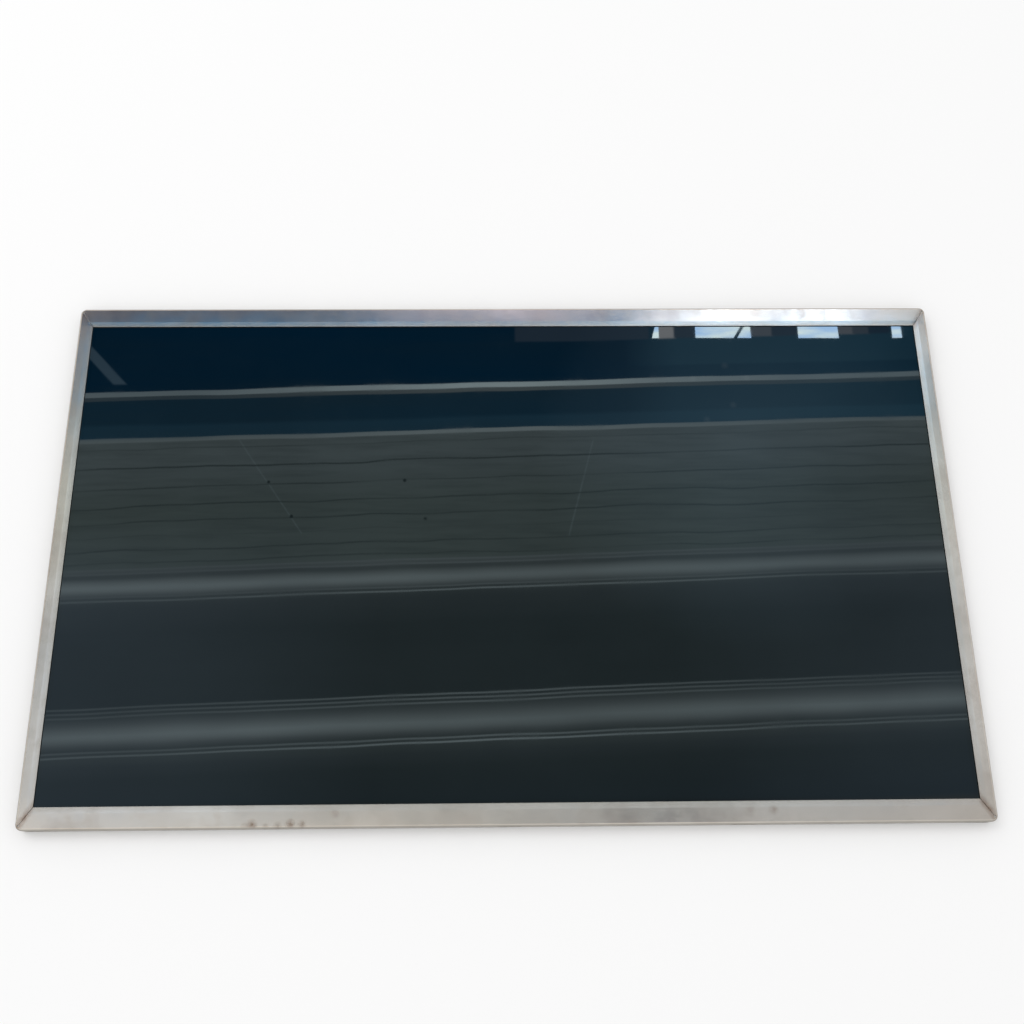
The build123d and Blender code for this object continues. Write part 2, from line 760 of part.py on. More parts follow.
nodes = {
    "front_bezel": front_bezel(),
    "front_polarizer": front_polarizer(),
    "colour_filter_glass": colour_filter_glass(),
    "transistor_array_glass": transistor_array_glass(),
    "rear_polarizer": rear_polarizer(),
    "cell_rim_tape": cell_rim_tape(),
    "upper_diffuser_sheet": optical_film(z_upper_diffuser, upper_diffuser_thickness),
    "upper_prism_sheet": optical_film(z_upper_prism, prism_thickness),
    "lower_prism_sheet": optical_film(z_lower_prism, prism_thickness),
    "lower_diffuser_sheet": optical_film(z_guide_top, lower_diffuser_thickness),
    "light_guide_plate": light_guide_plate(),
    "reflector_sheet": reflector_sheet(),
    "moulded_frame": moulded_frame(),
    "left_side_rail": side_rail(-1),
    "right_side_rail": side_rail(1),
    "light_bar_bracket": light_bar_bracket(),
    "light_bar_strip": light_bar_strip(),
    "light_diodes": light_diodes(),
    "drive_board": drive_board(),
    "driver_films": driver_films(),
    "driver_chips": driver_chips(),
    "signal_socket_housing": signal_socket_housing(),
    "signal_socket_shell": signal_socket_shell(),
    "signal_socket_contacts": signal_socket_contacts(),
    "timing_controller_chip": leaded_chip(controller_size, controller_size, controller_x, chip_y, True),
    "panel_power_chip": leaded_chip(power_chip_size, power_chip_size, power_chip_x, chip_y, True),
    "light_bar_driver_chip": leaded_chip(light_chip_size, light_chip_size, light_chip_x, narrow_y, True),
    "memory_chip": leaded_chip(memory_length, memory_width, memory_x, chip_y, False),
    "power_coils": power_coils(),
    "light_bar_socket_body": light_bar_socket_body(),
    "light_bar_socket_latch": light_bar_socket_latch(),
    "ceramic_capacitors": ceramic_capacitors(),
    "chip_resistors": chip_resistors(),
}

os.makedirs("parts", exist_ok=True)
for name, shape in nodes.items():
    shape.label = name
    export_step(shape, f"parts/{name}.step")
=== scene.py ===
import itertools
import json
import math

import bmesh
import bpy
from mathutils import Matrix, Vector


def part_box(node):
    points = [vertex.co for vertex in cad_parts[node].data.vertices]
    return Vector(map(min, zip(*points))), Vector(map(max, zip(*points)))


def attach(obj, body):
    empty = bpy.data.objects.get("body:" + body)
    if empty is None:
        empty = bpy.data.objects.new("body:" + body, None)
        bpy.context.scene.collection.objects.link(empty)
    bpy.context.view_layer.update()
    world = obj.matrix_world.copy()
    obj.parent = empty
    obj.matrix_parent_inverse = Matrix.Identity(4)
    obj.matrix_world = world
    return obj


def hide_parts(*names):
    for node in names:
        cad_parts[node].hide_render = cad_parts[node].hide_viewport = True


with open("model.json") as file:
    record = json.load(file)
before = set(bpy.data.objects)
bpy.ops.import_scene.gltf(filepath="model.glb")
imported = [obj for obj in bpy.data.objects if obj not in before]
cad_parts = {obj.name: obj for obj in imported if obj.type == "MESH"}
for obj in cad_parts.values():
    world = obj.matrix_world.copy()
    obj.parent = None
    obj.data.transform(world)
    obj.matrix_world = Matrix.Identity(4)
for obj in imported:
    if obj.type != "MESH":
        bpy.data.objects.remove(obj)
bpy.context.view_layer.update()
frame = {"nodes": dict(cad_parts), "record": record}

# A laptop screen panel that lies on its back: a glossy dark screen in a folded steel bezel.
# Metres. +X runs along the width, +Y to the top edge of the picture, +Z out of the screen.
MM = 0.001

# Camera, fitted to the corners of the bezel and of its opening
camera_place = Vector((-0.0053, -0.1207, 0.3899))
camera_look = Vector((0.0172, 0.3286, -0.9443))
camera_up = Vector((0.0049, 0.9444, 0.3287))
camera_lens = 39.8

# Stage: a pale floor, a white room and a card overhead that only shows in reflections
floor_reach = 30.0
floor_colour = (0.93, 0.93, 0.93)
room_light = 0.92
lamp_place = Vector((-0.9, 0.7, 1.6))
lamp_size = 1.2
lamp_power = 6.0
card_height = 1.5
card_half_width = 1.7
card_near = -1.0
card_far = 2.0
card_fade = 1.0
card_tilt_near = 0.036
card_tilt_far = 0.026
card_gain = 4.0

# Places on the card, from the near edge to the far edge, where the screen mirrors a room
screen_left = -0.775
screen_right = 0.788
screen_near = 0.02
screen_far = 0.93
edge_blur = 0.004
slat_near = 0.46
slat_far = 0.684

# Window panes: the left and right ends of the near edge, and then of the far edge
pane_near = 0.873
pane_far = 0.908
pane_light = 17.0
pane_drop = 0.004
panes = (
    (0.292, 0.305, 0.301, 0.305),
    (0.374, 0.445, 0.374, 0.466),
    (0.452, 0.478, 0.472, 0.477),
    (0.566, 0.642, 0.566, 0.641),
    (0.742, 0.760, 0.742, 0.759),
)

# Soft bands of the mirrored room, from the near edge to the far edge: place and tone
room_tones = {
    "dark": (0.27, 0.34, 0.41),
    "low": (0.36, 0.42, 0.44),
    "dusk": (0.48, 0.53, 0.56),
    "dim": (0.64, 0.69, 0.70),
    "soft": (1.06, 1.09, 1.12),
    "pale": (1.70, 1.73, 1.76),
    "glare": (2.15, 2.20, 2.25),
    "near_slats": (0.93, 1.02, 0.98),
    "far_slats": (1.16, 1.24, 1.27),
    "mist": (0.17, 0.48, 0.78),
    "teal": (0.10, 0.33, 0.57),
    "navy": (0.0, 0.20, 0.47),
}
room_bands = (
    (0.0, "dark"),
    (0.100, "low"),
    (0.121, "dusk"),
    (0.132, "dim"),
    (0.149, "dim"),
    (0.156, "soft"),
    (0.163, "pale"),
    (0.171, "glare"),
    (0.180, "pale"),
    (0.190, "soft"),
    (0.201, "dim"),
    (0.219, "low"),
    (0.340, "low"),
    (0.385, "dusk"),
    (0.402, "dim"),
    (0.408, "soft"),
    (0.414, "pale"),
    (0.420, "glare"),
    (0.428, "pale"),
    (0.439, "dim"),
    (0.448, "soft"),
    (0.456, "near_slats"),
    (0.560, "near_slats"),
    (0.640, "far_slats"),
    (0.690, "far_slats"),
    (0.695, "mist"),
    (0.717, "mist"),
    (0.720, "teal"),
    (0.776, "teal"),
    (0.784, "navy"),
    (0.93, "navy"),
)

# Haze over the mirrored room: in the far right corner, at both sides and as a round glow
corner_tone = (0.22, 0.60, 0.92)
corner_share = 0.8
corner_thin = 0.6
corner_thin_near = 0.720
corner_thin_far = 0.808
side_haze_tone = (1.0, 1.12, 1.5)
left_haze = 0.30
right_haze = 0.18
glow_tone = (0.7, 0.95, 1.25)
glow_share = 0.5
glow_place = (0.45, 0.66)
glow_radius = 0.38

# Greys round the mirrored room, which the bezel shows
near_left_tone = (1.02, 0.94, 0.87)
near_tone = (0.61, 0.575, 0.565)
near_right_tone = (0.76, 0.72, 0.695)
near_dip_tone = (0.06, 0.05, 0.07)
left_side_tone = (0.38, 0.37, 0.33)
left_corner_tone = (0.34, 0.23, 0.11)
right_corner_tone = (0.14, 0.13, 0.12)
far_left_tone = (0.20, 0.11, 0.07)

# Changes of the far grey from left to right: start, end and new tone
far_changes = (
    (-0.30, -0.02, (1.5, 1.24, 1.34)),
    (0.18, 0.22, (0.05, 0.05, 0.07)),
    (0.36, 0.39, (1.9, 1.62, 1.40)),
    (0.78, 0.84, (1.2, 1.08, 0.96)),
)

# Joints between the slats of the ceiling: place and darkness
slat_joint = 0.0028
slat_joint_tone = (0.24, 0.30, 0.30)
slat_joints = (
    (0.463, 0.6),
    (0.485, 0.7),
    (0.510, 0.35),
    (0.536, 0.75),
    (0.566, 0.75),
    (0.600, 0.75),
    (0.638, 0.9),
    (0.673, 0.5),
)

# Two pale seams across the slats, each as its near and far ends, and dark knots in the slats
slat_seam_width = 0.0022
slat_seam_tone = (2.1, 2.3, 2.4)
slat_seams = (((-0.34, 0.509), (-0.457, 0.684)), ((0.129, 0.488), (0.176, 0.663)))
knot_radius = 0.0042
slat_knots = ((-0.401, 0.592), (-0.358, 0.528), (-0.16, 0.594), (-0.123, 0.522))

# Planks by the window: left edge, right edge and brightness, and a post that leans
plank_near = 0.868
far_planks = (
    (0.04, 0.285, 0.3),
    (0.306, 0.336, 3.4),
    (0.336, 0.372, 0.35),
    (0.480, 0.520, 1.1),
    (0.520, 0.564, 0.3),
    (0.644, 0.672, 1.3),
    (0.672, 0.702, 0.6),
    (0.702, 0.738, 0.2),
)
post_lean = 0.91
post_place = 0.037
post_width = 0.02
post_near = 0.803
post_tone = (0.6, 0.9, 1.25)

# Crisp bars of light among the bands: near edge, far edge and brightness
bar_blur = 0.001
bars = (
    (0.137, 0.139, 2.3),
    (0.144, 0.146, 1.7),
    (0.202, 0.204, 1.5),
    (0.209, 0.211, 1.5),
    (0.216, 0.218, 1.6),
    (0.396, 0.398, 1.8),
    (0.403, 0.405, 1.2),
    (0.444, 0.446, 1.2),
    (0.451, 0.453, 1.2),
    (0.687, 0.694, 2.2),
    (0.768, 0.776, 1.1),
    (0.776, 0.785, 4.0),
)

# Parts soldered to the board's face, which looks down
lead_reach = 0.7 * MM
fine_pitch = 0.5 * MM
fine_lead = 0.22 * MM
coarse_pitch = 1.27 * MM
coarse_lead = 0.42 * MM
chip_draft = 0.12 * MM
chip_corner = 0.15 * MM
chip_standoff = 0.06 * MM
chip_dot = 0.45 * MM
cap_skin = 0.02 * MM
solder_reach = 0.3 * MM
coil_foot = 0.15 * MM
coil_edge = 0.06 * MM
coil_foot_edge = 0.04 * MM

# A bent lead's outline: how far out from the body and how far off the board, in millimetres
lead_outline = (
    (-0.1, 0.40),
    (0.2, 0.40),
    (0.38, 0.13),
    (0.7, 0.13),
    (0.7, 0.0),
    (0.32, 0.0),
    (0.14, 0.27),
    (-0.1, 0.27),
)

# A hollow solder fillet's outline, as shares of its reach and of its climb
solder_outline = ((0.0, 0.0), (1.0, 0.0), (0.45, 0.16), (0.15, 0.5), (0.0, 1.0))

# Each chip's node, the pitch and width of its leads, and whether they are on two sides only
chip_leads = (
    ("timing_controller_chip", fine_pitch, fine_lead, False),
    ("panel_power_chip", fine_pitch, fine_lead, False),
    ("light_bar_driver_chip", fine_pitch, fine_lead, False),
    ("memory_chip", coarse_pitch, coarse_lead, True),
)

# Nodes on the board's face, as single parts and as groups of like parts
single_parts = (
    "light_bar_driver_chip",
    "panel_power_chip",
    "memory_chip",
    "timing_controller_chip",
    "light_bar_socket_body",
    "signal_socket_housing",
    "signal_socket_contacts",
)
part_groups = ("power_coils", "ceramic_capacitors", "chip_resistors", "driver_films")

# Tracks, pads and vias of the board
mask_rise = 0.02 * MM
track_width = 0.14 * MM
track_pitch = 0.26 * MM
bus_lines = 6
bus_edge_gap = 0.6 * MM
bend = 0.5 * MM
branch_pitch = 2.4 * MM
branches = 12
signal_lines = 5
pad_radius = 0.5 * MM
pad_pitch = 11.0 * MM
via_radius = 0.2 * MM
via_pitch = 5.5 * MM

# The glass weave in the board
weave_turns = 2.0 * math.pi / (0.6 * MM)

# Threads in the tapped rails
thread_pitch = 0.4 * MM
thread_depth = 0.1 * MM
thread_steps = 24

# The black border between the bezel and the picture, and faint marks on the film in millimetres
border_x = 1.85 * MM
border_y = 1.475 * MM
border_blur = 0.1 * MM
film_tint = (0.80, 0.98, 1.0)
film_marks = ((70.4, 66.0), (74.6, 49.4), (82.8, 71.6), (84.8, 55.3), (90.6, 66.4))
film_mark_radius = 1.7 * MM

# The bezel's fold, with painted shade (a darker colour) and a rougher finish along it, and its top lip,
# which is a little smoother than the others
fold_drop = 0.15 * MM
lip_blend = 0.5 * MM
lip_smooth = 0.04

# Stains on the bezel's lips: place in millimetres, radius in millimetres, strength
stain_foot = 3.0 * MM
stain_top = 4.6 * MM
lip_stains = (
    (-86.9, -95.0, 1.3, 0.5),
    (-84.5, -94.6, 2.0, 0.85),
    (-80.1, -95.2, 1.3, 0.35),
    (-76.1, -95.1, 1.6, 0.45),
    (-72.1, -94.6, 2.0, 0.85),
    (-68.2, -94.7, 1.7, 0.6),
    (-57.5, -91.6, 1.9, 0.35),
    (79.3, -91.9, 2.4, 0.3),
    (87.3, -91.5, 2.0, 0.55),
    (96.1, 93.8, 2.4, 0.16),
    (108.0, 94.8, 2.2, 0.16),
    (113.8, 93.2, 3.2, 0.28),
    (134.7, 91.8, 2.6, 0.10),
)


class Paint:
    """A procedural material whose nodes read the place on the object, in metres."""

    def __init__(self, name, **constants):
        self.material = bpy.data.materials.new(name)
        self.material.use_nodes = True
        self.tree = self.material.node_tree
        self.shader = self.tree.nodes["Principled BSDF"]
        self.place = self.node("TexCoord").outputs["Object"]
        self.put(**constants)

    def node(self, kind, inputs=None, **settings):
        made = self.tree.nodes.new("ShaderNode" + kind)
        for key, value in settings.items():
            setattr(made, key, value)
        for key, value in (inputs or {}).items():
            self.feed(made.inputs[key], value)
        return made

    def feed(self, socket, value):
        if isinstance(value, bpy.types.NodeSocket):
            self.tree.links.new(value, socket)
        elif socket.type == "RGBA":
            socket.default_value = (*value, 1.0)
        else:
            socket.default_value = value

    def put(self, **sockets):
        """Feeds the shader's sockets, named with underscores for spaces."""
        for key, value in sockets.items():
            self.feed(self.shader.inputs[key.replace("_", " ")], value)

    def calc(self, operation, first, second=0.0):
        node = self.node("Math", {0: first, 1: second}, operation=operation)
        return node.outputs[0]

    def fit(self, value, start, end, low=0.0, high=1.0):
        """A value carried from one range to another and held inside it."""
        inputs = {"Value": value, "From Min": start, "From Max": end, "To Min": low, "To Max": high}
        return self.node("MapRange", inputs).outputs["Result"]

    def mix(self, share, first, second):
        node = self.node("Mix", {0: share, 6: first, 7: second}, data_type="RGBA")
        return node.outputs[2]

    def stretched(self, stretch):
        return self.node("VectorMath", {0: self.place, 1: stretch}, operation="MULTIPLY").outputs[0]

    def noise(self, scale, detail=2.0, stretch=None, rough=0.5):
        place = self.stretched(stretch) if stretch else self.place
        inputs = {"Vector": place, "Scale": scale, "Detail": detail, "Roughness": rough}
        return self.node("TexNoise", inputs).outputs["Fac"]

    def axes(self):
        return self.node("SeparateXYZ", {0: self.place}).outputs

    def inside(self, value, low, high, blur):
        """One between two limits, falling to nothing a little way outside them."""
        rise = self.fit(value, low - blur, low)
        return self.calc("MULTIPLY", rise, self.fit(value, high + blur, high))

    def spot(self, centre, radius, blur=1.0):
        """One at a place on the ground plan, falling to nothing at the radius."""
        flat = self.stretched((1.0, 1.0, 0.0))
        far = self.node("VectorMath", {0: flat, 1: (*centre, 0.0)}, operation="DISTANCE").outputs["Value"]
        return self.fit(far, radius, radius * (1.0 - blur))

    def total(self, values):
        result = values[0]
        for value in values[1:]:
            result = self.calc("ADD", result, value)
        return result

    def bump(self, height, distance, below=None):
        inputs = {"Height": height, "Distance": distance}
        if below:
            inputs["Normal"] = below
        return self.node("Bump", inputs).outputs["Normal"]


def seam_mask(paint, width):
    """One along the near mitre seams of the bezel and less along the far ones, nothing at a width."""
    low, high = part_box("front_bezel")
    film_low, film_high = opening
    x, y, _ = paint.axes()
    along_x = paint.calc("ABSOLUTE", x)
    masks = []
    for edge_y, corner_y in ((film_low.y, low.y), (film_high.y, high.y)):
        run = Vector((high.x - film_high.x, corner_y - edge_y)).normalized()
        across_x = paint.calc("MULTIPLY", paint.calc("SUBTRACT", along_x, film_high.x), run.y)
        across_y = paint.calc("MULTIPLY", paint.calc("SUBTRACT", y, edge_y), run.x)
        away = paint.calc("ABSOLUTE", paint.calc("SUBTRACT", across_x, across_y))
        masks.append(paint.fit(away, width, 0.0))
    near, far = masks
    far = paint.calc("MULTIPLY", far, paint.fit(x, film_low.x, film_high.x, 0.15, 0.7))
    corner = paint.fit(along_x, film_high.x - width, film_high.x)
    return paint.calc("MULTIPLY", paint.calc("MAXIMUM", near, far), corner)


def bezel_steel():
    """Satin stainless sheet with rolling lines, soft dents, brown stains, tinted seams and painted shade
    along the fold.
    """
    paint = Paint("bezel_steel", Metallic=1.0)
    lip_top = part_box("front_bezel")[1].z
    cloud = paint.fit(paint.noise(26.0, detail=3.0), 0.3, 0.7)
    rolling = paint.noise(2600.0, detail=3.0, stretch=(0.02, 1.0, 1.0))
    smear = paint.noise(140.0, detail=5.0, rough=0.65)
    steel = paint.mix(cloud, (0.55, 0.52, 0.47), (0.69, 0.66, 0.605))
    steel = paint.mix(paint.fit(smear, 0.5, 0.75, 0.0, 0.45), steel, (0.46, 0.43, 0.385))
    tarnish = paint.fit(paint.noise(58.0, detail=4.0, rough=0.6), 0.5, 0.72, 0.0, 0.5)
    steel = paint.mix(tarnish, steel, (0.47, 0.415, 0.36))
    speckle = paint.fit(paint.noise(700.0, detail=4.0, rough=0.6), 0.35, 0.65, 0.35, 1.0)
    spots = []
    for x, y, radius, strength in lip_stains:
        spot = paint.spot((x * MM, y * MM), radius * MM, blur=0.9)
        spots.append(paint.calc("MULTIPLY", spot, strength))
    _, y, z = paint.axes()
    on_lip = paint.fit(z, stain_foot, stain_top)
    stain = paint.calc("MULTIPLY", paint.calc("MULTIPLY", paint.total(spots), speckle), on_lip)
    patchy = paint.fit(paint.noise(420.0, detail=4.0), 0.35, 0.65, 0.4, 1.0)
    seam = paint.calc("MULTIPLY", seam_mask(paint, 1.7 * MM), patchy)
    colour = paint.mix(paint.calc("MULTIPLY", seam, 0.85), steel, (0.24, 0.15, 0.10))
    colour = paint.mix(stain, colour, (0.16, 0.085, 0.045))
    # Painted shade: the colour darkens along the fold, which is also made rougher.
    shaded_dull_fold = paint.fit(z, lip_top, lip_top - fold_drop)
    colour = paint.mix(paint.calc("MULTIPLY", shaded_dull_fold, 0.7), colour, (0.27, 0.245, 0.215))
    rough = paint.fit(smear, 0.3, 0.7, 0.15, 0.22)
    top_lip = paint.fit(y, opening[1].y, opening[1].y + lip_blend, 0.0, lip_smooth)
    rough = paint.calc("SUBTRACT", rough, top_lip)
    rough = paint.calc("ADD", rough, paint.calc("MULTIPLY", paint.calc("ADD", stain, shaded_dull_fold), 0.2))
    dents = paint.bump(paint.noise(34.0, detail=2.0), 0.12 * MM)
    grain = paint.bump(rolling, 0.0012 * MM, below=dents)
    paint.put(Base_Color=colour, Roughness=rough, Normal=grain)
    return paint.material


def screen_film():
    """Glossy dark film: a blacker border round the picture, a faint ripple, haze and a few faint marks."""
    paint = Paint("screen_film", IOR=1.5, Specular_Tint=film_tint)
    low, high = opening
    x, y, _ = paint.axes()
    picture = paint.calc(
        "MULTIPLY",
        paint.inside(x, low.x + border_x, high.x - border_x, border_blur),
        paint.inside(y, low.y + border_y, high.y - border_y, border_blur),
    )
    ripple = paint.noise(17.0, detail=1.5, stretch=(1.0, 1.6, 1.0))
    haze = paint.fit(paint.noise(60.0, detail=4.0, rough=0.6), 0.5, 0.8)
    marks = paint.total([paint.spot((right * MM, up * MM), film_mark_radius) for right, up in film_marks])
    base = paint.mix(haze, (0.0007, 0.0013, 0.0021), (0.0013, 0.0021, 0.0030))
    base = paint.mix(picture, (0.0003, 0.0004, 0.0005), base)
    base = paint.mix(paint.calc("MULTIPLY", marks, 0.2), base, (0.05, 0.055, 0.055))
    rough = paint.fit(haze, 0.0, 1.0, 0.012, 0.03)
    paint.put(Base_Color=base, Roughness=rough, Normal=paint.bump(ripple, 0.02 * MM))
    return paint.material


def moulded(name, colour, rough=0.5, grain=900.0, depth=0.004, drift=0.06):
    """Moulded or coated plastic: slightly uneven colour, fine grain and uneven gloss."""
    paint = Paint(name)
    cloud = paint.noise(35.0, detail=3.0)
    fine = paint.noise(grain, detail=3.0, rough=0.6)
    dark = tuple(c * (1.0 - drift) for c in colour)
    light = tuple(min(c * (1.0 + drift), 1.0) for c in colour)
    paint.put(
        Base_Color=paint.mix(cloud, dark, light),
        Roughness=paint.fit(fine, 0.3, 0.7, rough - 0.06, rough + 0.06),
        Normal=paint.bump(fine, depth * MM),
    )
    return paint.material


def rolled(name, colour, rough=0.35, along=(0.02, 1.0, 1.0)):
    """Rolled or pressed metal: lines along the rolling direction and a cloudy gloss."""
    paint = Paint(name, Metallic=1.0)
    lines = paint.noise(3000.0, detail=3.0, stretch=along)
    cloud = paint.noise(90.0, detail=4.0)
    dark = tuple(c * 0.85 for c in colour)
    paint.put(
        Base_Color=paint.mix(cloud, dark, colour),
        Roughness=paint.fit(cloud, 0.3, 0.7, rough - 0.08, rough + 0.08),
        Normal=paint.bump(lines, 0.002 * MM),
    )
    return paint.material


def board_laminate():
    """Glossy green solder mask over a faint glass weave."""
    paint = Paint("board_laminate", IOR=1.5)
    x, y, _ = paint.axes()
    warp = paint.calc("SINE", paint.calc("MULTIPLY", x, weave_turns))
    weft = paint.calc("SINE", paint.calc("MULTIPLY", y, weave_turns))
    weave = paint.calc("MULTIPLY", warp, weft)
    cloud = paint.noise(120.0, detail=4.0)
    green = paint.mix(cloud, (0.008, 0.085, 0.034), (0.012, 0.105, 0.044))
    paint.put(
        Base_Color=paint.mix(paint.fit(weave, -1.0, 1.0, 0.0, 0.25), green, (0.02, 0.14, 0.06)),
        Roughness=paint.fit(cloud, 0.3, 0.7, 0.2, 0.32),
        Normal=paint.bump(weave, 0.003 * MM),
    )
    return paint.material


def driver_flex():
    """Amber film with fine copper lines along its run."""
    paint = Paint("driver_flex", IOR=1.6)
    x, _, _ = paint.axes()
    phase = paint.calc("FRACT", paint.calc("MULTIPLY", x, 1.0 / (0.4 * MM)))
    line = paint.fit(paint.calc("ABSOLUTE", paint.calc("SUBTRACT", phase, 0.5)), 0.24, 0.18)
    cloud = paint.noise(220.0, detail=3.0)
    amber = paint.mix(cloud, (0.30, 0.13, 0.02), (0.40, 0.19, 0.035))
    paint.put(
        Base_Color=paint.mix(line, amber, (0.50, 0.23, 0.08)),
        Roughness=paint.fit(cloud, 0.3, 0.7, 0.22, 0.34),
        Normal=paint.bump(line, 0.004 * MM),
    )
    return paint.material


def chip_resin():
    """Matt black resin with a round moulded mark in one corner of each chip."""
    paint = Paint("chip_resin")
    fine = paint.noise(4000.0, detail=3.0)
    dots = []
    for node, *_ in chip_leads:
        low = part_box(node)[0]
        centre = (low.x + lead_reach + 2.0 * chip_dot, low.y + lead_reach + 2.0 * chip_dot)
        dots.append(paint.spot(centre, chip_dot, blur=0.25))
    dot = paint.total(dots)
    paint.put(
        Base_Color=paint.mix(dot, (0.022, 0.022, 0.024), (0.045, 0.045, 0.047)),
        Roughness=paint.fit(dot, 0.0, 1.0, 0.56, 0.3),
        Normal=paint.bump(paint.calc("SUBTRACT", paint.calc("MULTIPLY", fine, 0.15), dot), 0.05 * MM),
    )
    return paint.material


def paints():
    """One material for each of the record's slots."""
    return {
        "bezel_steel": bezel_steel(),
        "screen_film": screen_film(),
        "cell_glass": moulded("cell_glass", (0.45, 0.52, 0.52), rough=0.1),
        "rear_film": moulded("rear_film", (0.03, 0.035, 0.04), rough=0.2),
        "black_tape": moulded("black_tape", (0.02, 0.02, 0.02), rough=0.6),
        "diffuser_film": moulded("diffuser_film", (0.82, 0.83, 0.84), rough=0.6),
        "prism_film": moulded("prism_film", (0.74, 0.76, 0.78), rough=0.25),
        "clear_acrylic": moulded("clear_acrylic", (0.74, 0.80, 0.80), rough=0.12),
        "reflector_white": moulded("reflector_white", (0.80, 0.81, 0.82), rough=0.35),
        "frame_plastic": moulded("frame_plastic", (0.74, 0.74, 0.71), rough=0.55),
        "rail_steel": rolled("rail_steel", (0.55, 0.55, 0.54), along=(1.0, 0.02, 1.0)),
        "bracket_aluminium": rolled("bracket_aluminium", (0.72, 0.73, 0.74), rough=0.4),
        "strip_flex": moulded("strip_flex", (0.72, 0.71, 0.66), rough=0.45),
        "diode_resin": moulded("diode_resin", (0.78, 0.70, 0.38), rough=0.4),
        "board_laminate": board_laminate(),
        "driver_flex": driver_flex(),
        "bare_silicon": moulded("bare_silicon", (0.06, 0.065, 0.075), rough=0.15),
        "socket_plastic": moulded("socket_plastic", (0.70, 0.66, 0.55), rough=0.5),
        "socket_steel": rolled("socket_steel", (0.66, 0.66, 0.65), rough=0.28),
        "contact_plating": rolled("contact_plating", (0.78, 0.58, 0.24), rough=0.3),
        "chip_resin": chip_resin(),
        "ferrite": moulded("ferrite", (0.07, 0.07, 0.075), rough=0.6),
        "latch_plastic": moulded("latch_plastic", (0.03, 0.03, 0.03), rough=0.5),
        "capacitor_ceramic": moulded("capacitor_ceramic", (0.40, 0.27, 0.16), rough=0.5),
        "resistor_ceramic": moulded("resistor_ceramic", (0.03, 0.03, 0.03), rough=0.3),
    }


def find_opening():
    """The bezel's opening, as the corners of the clear part of the film inside it."""
    bezel = frame["nodes"]["front_bezel"].data
    film_low, film_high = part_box("front_polarizer")
    points = [vertex.co for vertex in bezel.vertices]
    inside = [p for p in points if abs(p.x) < film_high.x and film_low.y < p.y < film_high.y]
    low = Vector((min(p.x for p in inside), min(p.y for p in inside)))
    high = Vector((max(p.x for p in inside), max(p.y for p in inside)))
    return low, high


def dress_nodes(finishes):
    """Gives each solid of the frame the finish of its slot."""
    for part in frame["record"]["subparts"]:
        node = frame["nodes"][part["node"]]
        node.data.materials.clear()
        node.data.materials.append(finishes[part["material_slot"]])


def islands(node):
    """The box of each separate solid in a node, from left to right."""
    bm = bmesh.new()
    bm.from_mesh(frame["nodes"][node].data)
    bmesh.ops.remove_doubles(bm, verts=bm.verts, dist=0.001 * MM)
    boxes = []
    waiting = set(bm.verts)
    while waiting:
        solid = [waiting.pop()]
        for vert in solid:
            for edge in vert.link_edges:
                other = edge.other_vert(vert)
                if other in waiting:
                    waiting.remove(other)
                    solid.append(other)
        low = Vector([min(v.co[axis] for v in solid) for axis in range(3)])
        high = Vector([max(v.co[axis] for v in solid) for axis in range(3)])
        boxes.append((low, high))
    bm.free()
    return sorted(boxes, key=lambda box: (round(box[0].x, 6), round(box[0].y, 6)))


def spread(count, pitch, middle=0.0):
    """Evenly pitched places about a middle."""
    return [middle + (i - (count - 1) / 2) * pitch for i in range(count)]


def add_hull(bm, points, finish=0):
    """A convex solid round some points."""
    verts = [bm.verts.new(point) for point in points]
    for item in bmesh.ops.convex_hull(bm, input=verts)["geom"]:
        if isinstance(item, bmesh.types.BMFace):
            item.material_index = finish


def add_block(bm, low, high, edge, finish=0):
    """A block between two corners, with chamfered edges."""
    points = []
    for ends in itertools.product((0, 1), repeat=3):
        corner = [(low, high)[end][axis] for axis, end in enumerate(ends)]
        inner = [place - edge if end else place + edge for place, end in zip(corner, ends)]
        for axis in range(3):
            points.append([corner[i] if i == axis else inner[i] for i in range(3)])
    add_hull(bm, points, finish)


def add_prism(bm, outline, half, place, finish=0):
    """An outline of (out, up) points drawn across a width, set down by a function of (out, up, across)."""
    sides = [[bm.verts.new(place(out, up, across)) for out, up in outline] for across in (-half, half)]
    faces = [bm.faces.new(sides[0]), bm.faces.new(sides[1][::-1])]
    for i in range(len(outline)):
        j = (i + 1) % len(outline)
        faces.append(bm.faces.new((sides[0][i], sides[1][i], sides[1][j], sides[0][j])))
    for face in faces:
        face.material_index = finish


def add_disc(bm, x, y, radius, z_low, z_high, sides=16, finish=0):
    """A low round pad, a little smaller at its free face."""
    points = []
    for i in range(sides):
        turn = 2.0 * math.pi * i / sides
        for reach, z in ((radius * 0.94, z_low), (radius, z_high)):
            points.append((x + reach * math.cos(turn), y + reach * math.sin(turn), z))
    add_hull(bm, points, finish)


def add_track(bm, points, z_low, z_high, width=track_width):
    """A flat strip along a line of (x, y) points, mitred at its corners."""
    line = [Vector(point) for point in points]
    runs = [(b - a).normalized() for a, b in zip(line, line[1:])]
    rows = []
    for i, point in enumerate(line):
        before, after = runs[max(i - 1, 0)], runs[min(i, len(runs) - 1)]
        mean = (before + after).normalized()
        side = Vector((-mean.y, mean.x)) * (width / 2.0 / mean.dot(after))
        left, right = point + side, point - side
        corners = ((left, z_high), (left, z_low), (right, z_low), (right, z_high))
        rows.append([bm.verts.new((p.x, p.y, z)) for p, z in corners])
    for a, b in zip(rows, rows[1:]):
        for i in range(4):
            j = (i + 1) % 4
            bm.faces.new((a[i], a[j], b[j], b[i]))
    bm.faces.new(rows[0][::-1])
    bm.faces.new(rows[-1])


def new_object(name, mesh):
    made = bpy.data.objects.new(name, mesh)
    bpy.context.scene.collection.objects.link(made)
    return made


